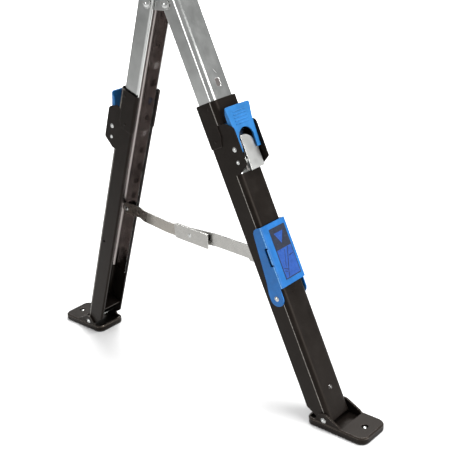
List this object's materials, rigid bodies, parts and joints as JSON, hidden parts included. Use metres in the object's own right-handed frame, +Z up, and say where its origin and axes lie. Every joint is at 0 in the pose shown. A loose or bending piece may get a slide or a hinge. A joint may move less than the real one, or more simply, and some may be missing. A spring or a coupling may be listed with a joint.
{
  "type": "folding trestle leg frame",
  "caption": "Folding A-frame trestle end with telescoping channel legs, pull-out height latches, a folding brace, swivel feet and a swing-out plank bracket.",
  "frame": {"origin": "on the floor, midway between the feet and between the front and back edges", "axes": "+Z up, +X from the left foot to the right foot (the leg that carries the plank bracket), +Y along the beam that the head carries"},
  "size_m": [0.6904, 0.064, 0.6475],
  "materials": {
    "black_paint": "satin powder coat",
    "zinc": "galvanised",
    "lever_blue": "satin",
    "bracket_blue": "satin",
    "rubber": "matte",
    "label": "printed film"
  },
  "bodies": {
    "head": {"head_bracket": "zinc", "head_saddle": "zinc", "head_rivets": "zinc", "head_bushes": "zinc", "head_bolts": "zinc", "head_washers": "zinc", "head_nuts": "zinc"},
    "left_upper": {"left_upper_channel": "zinc", "left_brace_pin": "zinc", "left_brace_spacer": "zinc"},
    "left_lower": {"left_lower_channel": "black_paint", "left_collar": "black_paint", "left_collar_rivets": "black_paint", "left_lever_pin": "zinc", "left_catch_pin": "zinc", "left_catch_spring": "zinc", "left_stop_plate": "black_paint", "left_stop_screw": "black_paint", "left_foot_pin": "zinc"},
    "left_lever": {"left_lever": "lever_blue"},
    "left_catch": {"left_catch": "zinc"},
    "left_foot": {"left_foot_shoe": "black_paint", "left_foot_tread": "rubber", "left_foot_screws": "zinc"},
    "right_upper": {"right_upper_channel": "zinc", "right_brace_pin": "zinc", "right_brace_spacer": "zinc"},
    "right_lower": {"right_lower_channel": "black_paint", "right_collar": "black_paint", "right_collar_rivets": "black_paint", "right_lever_pin": "zinc", "right_catch_pin": "zinc", "right_catch_spring": "zinc", "right_stop_plate": "black_paint", "right_stop_screw": "black_paint", "right_foot_pin": "zinc", "bracket_rivets": "zinc"},
    "right_lever": {"right_lever": "lever_blue"},
    "right_catch": {"right_catch": "zinc"},
    "right_foot": {"right_foot_shoe": "black_paint", "right_foot_tread": "rubber", "right_foot_screws": "zinc"},
    "brace_left": {"brace_left_link": "zinc", "brace_sleeve": "zinc", "brace_middle_rivet": "zinc"},
    "brace_right": {"brace_right_link": "zinc"},
    "plank_bracket": {"support_bracket": "bracket_blue", "bracket_label": "label"}
  },
  "joints": [
    {"name": "left_fold", "type": "hinge", "parent": "head", "child": "left_upper", "pos_m": [-0.01915, 0, 0.61118], "axis": [0, -1, 0], "range_deg": [0, 20]},
    {"name": "left_extend", "type": "slide", "parent": "left_upper", "child": "left_lower", "axis": [-0.3681, 0, -0.9298], "range_m": [0, 0.128]},
    {"name": "left_lever_pull", "type": "hinge", "parent": "left_lower", "child": "left_lever", "pos_m": [-0.13223, 0, 0.41331], "axis": [0, -1, 0], "range_deg": [0, 26], "stiffness_Nm_per_rad": 0.3, "springref_deg": -17.19},
    {"name": "left_catch_swing", "type": "hinge", "parent": "left_lower", "child": "left_catch", "pos_m": [-0.13721, 0, 0.39474], "axis": [0, -1, 0], "range_deg": [-13, 0]},
    {"name": "left_foot_swivel", "type": "hinge", "parent": "left_lower", "child": "left_foot", "pos_m": [-0.2722, 0, 0.0155], "axis": [0, -1, 0], "range_deg": [-20, 20]},
    {"name": "left_brace_swing", "type": "hinge", "parent": "left_upper", "child": "brace_left", "pos_m": [-0.17089, 0, 0.24965], "axis": [0, -1, 0], "range_deg": [0, 59.32]},
    {"name": "right_fold", "type": "hinge", "parent": "head", "child": "right_upper", "pos_m": [0.01915, 0, 0.61118], "axis": [0, 1, 0], "range_deg": [0, 20]},
    {"name": "right_extend", "type": "slide", "parent": "right_upper", "child": "right_lower", "axis": [0.3681, 0, -0.9298], "range_m": [0, 0.128]},
    {"name": "right_lever_pull", "type": "hinge", "parent": "right_lower", "child": "right_lever", "pos_m": [0.13223, 0, 0.41331], "axis": [0, 1, 0], "range_deg": [0, 26], "stiffness_Nm_per_rad": 0.3, "springref_deg": -17.19},
    {"name": "right_catch_swing", "type": "hinge", "parent": "right_lower", "child": "right_catch", "pos_m": [0.13721, 0, 0.39474], "axis": [0, 1, 0], "range_deg": [-13, 0]},
    {"name": "right_foot_swivel", "type": "hinge", "parent": "right_lower", "child": "right_foot", "pos_m": [0.2722, 0, 0.0155], "axis": [0, 1, 0], "range_deg": [-20, 20]},
    {"name": "right_brace_swing", "type": "hinge", "parent": "right_upper", "child": "brace_right", "pos_m": [0.17089, 0, 0.24965], "axis": [0, 1, 0], "range_deg": [0, 59.32]},
    {"name": "bracket_swing", "type": "hinge", "parent": "right_lower", "child": "plank_bracket", "pos_m": [0.19601, 0, 0.19571], "axis": [0, 1, 0], "range_deg": [0, 90]}
  ],
  "couplings": [
    {"joint": "right_fold", "follows": "left_fold", "ratio": 1},
    {"joint": "left_catch_swing", "follows": "left_lever_pull", "ratio": -0.5},
    {"joint": "left_brace_swing", "follows": "left_fold", "ratio": 2.9655},
    {"joint": "right_catch_swing", "follows": "right_lever_pull", "ratio": -0.5},
    {"joint": "right_brace_swing", "follows": "left_fold", "ratio": 2.9655}
  ]
}
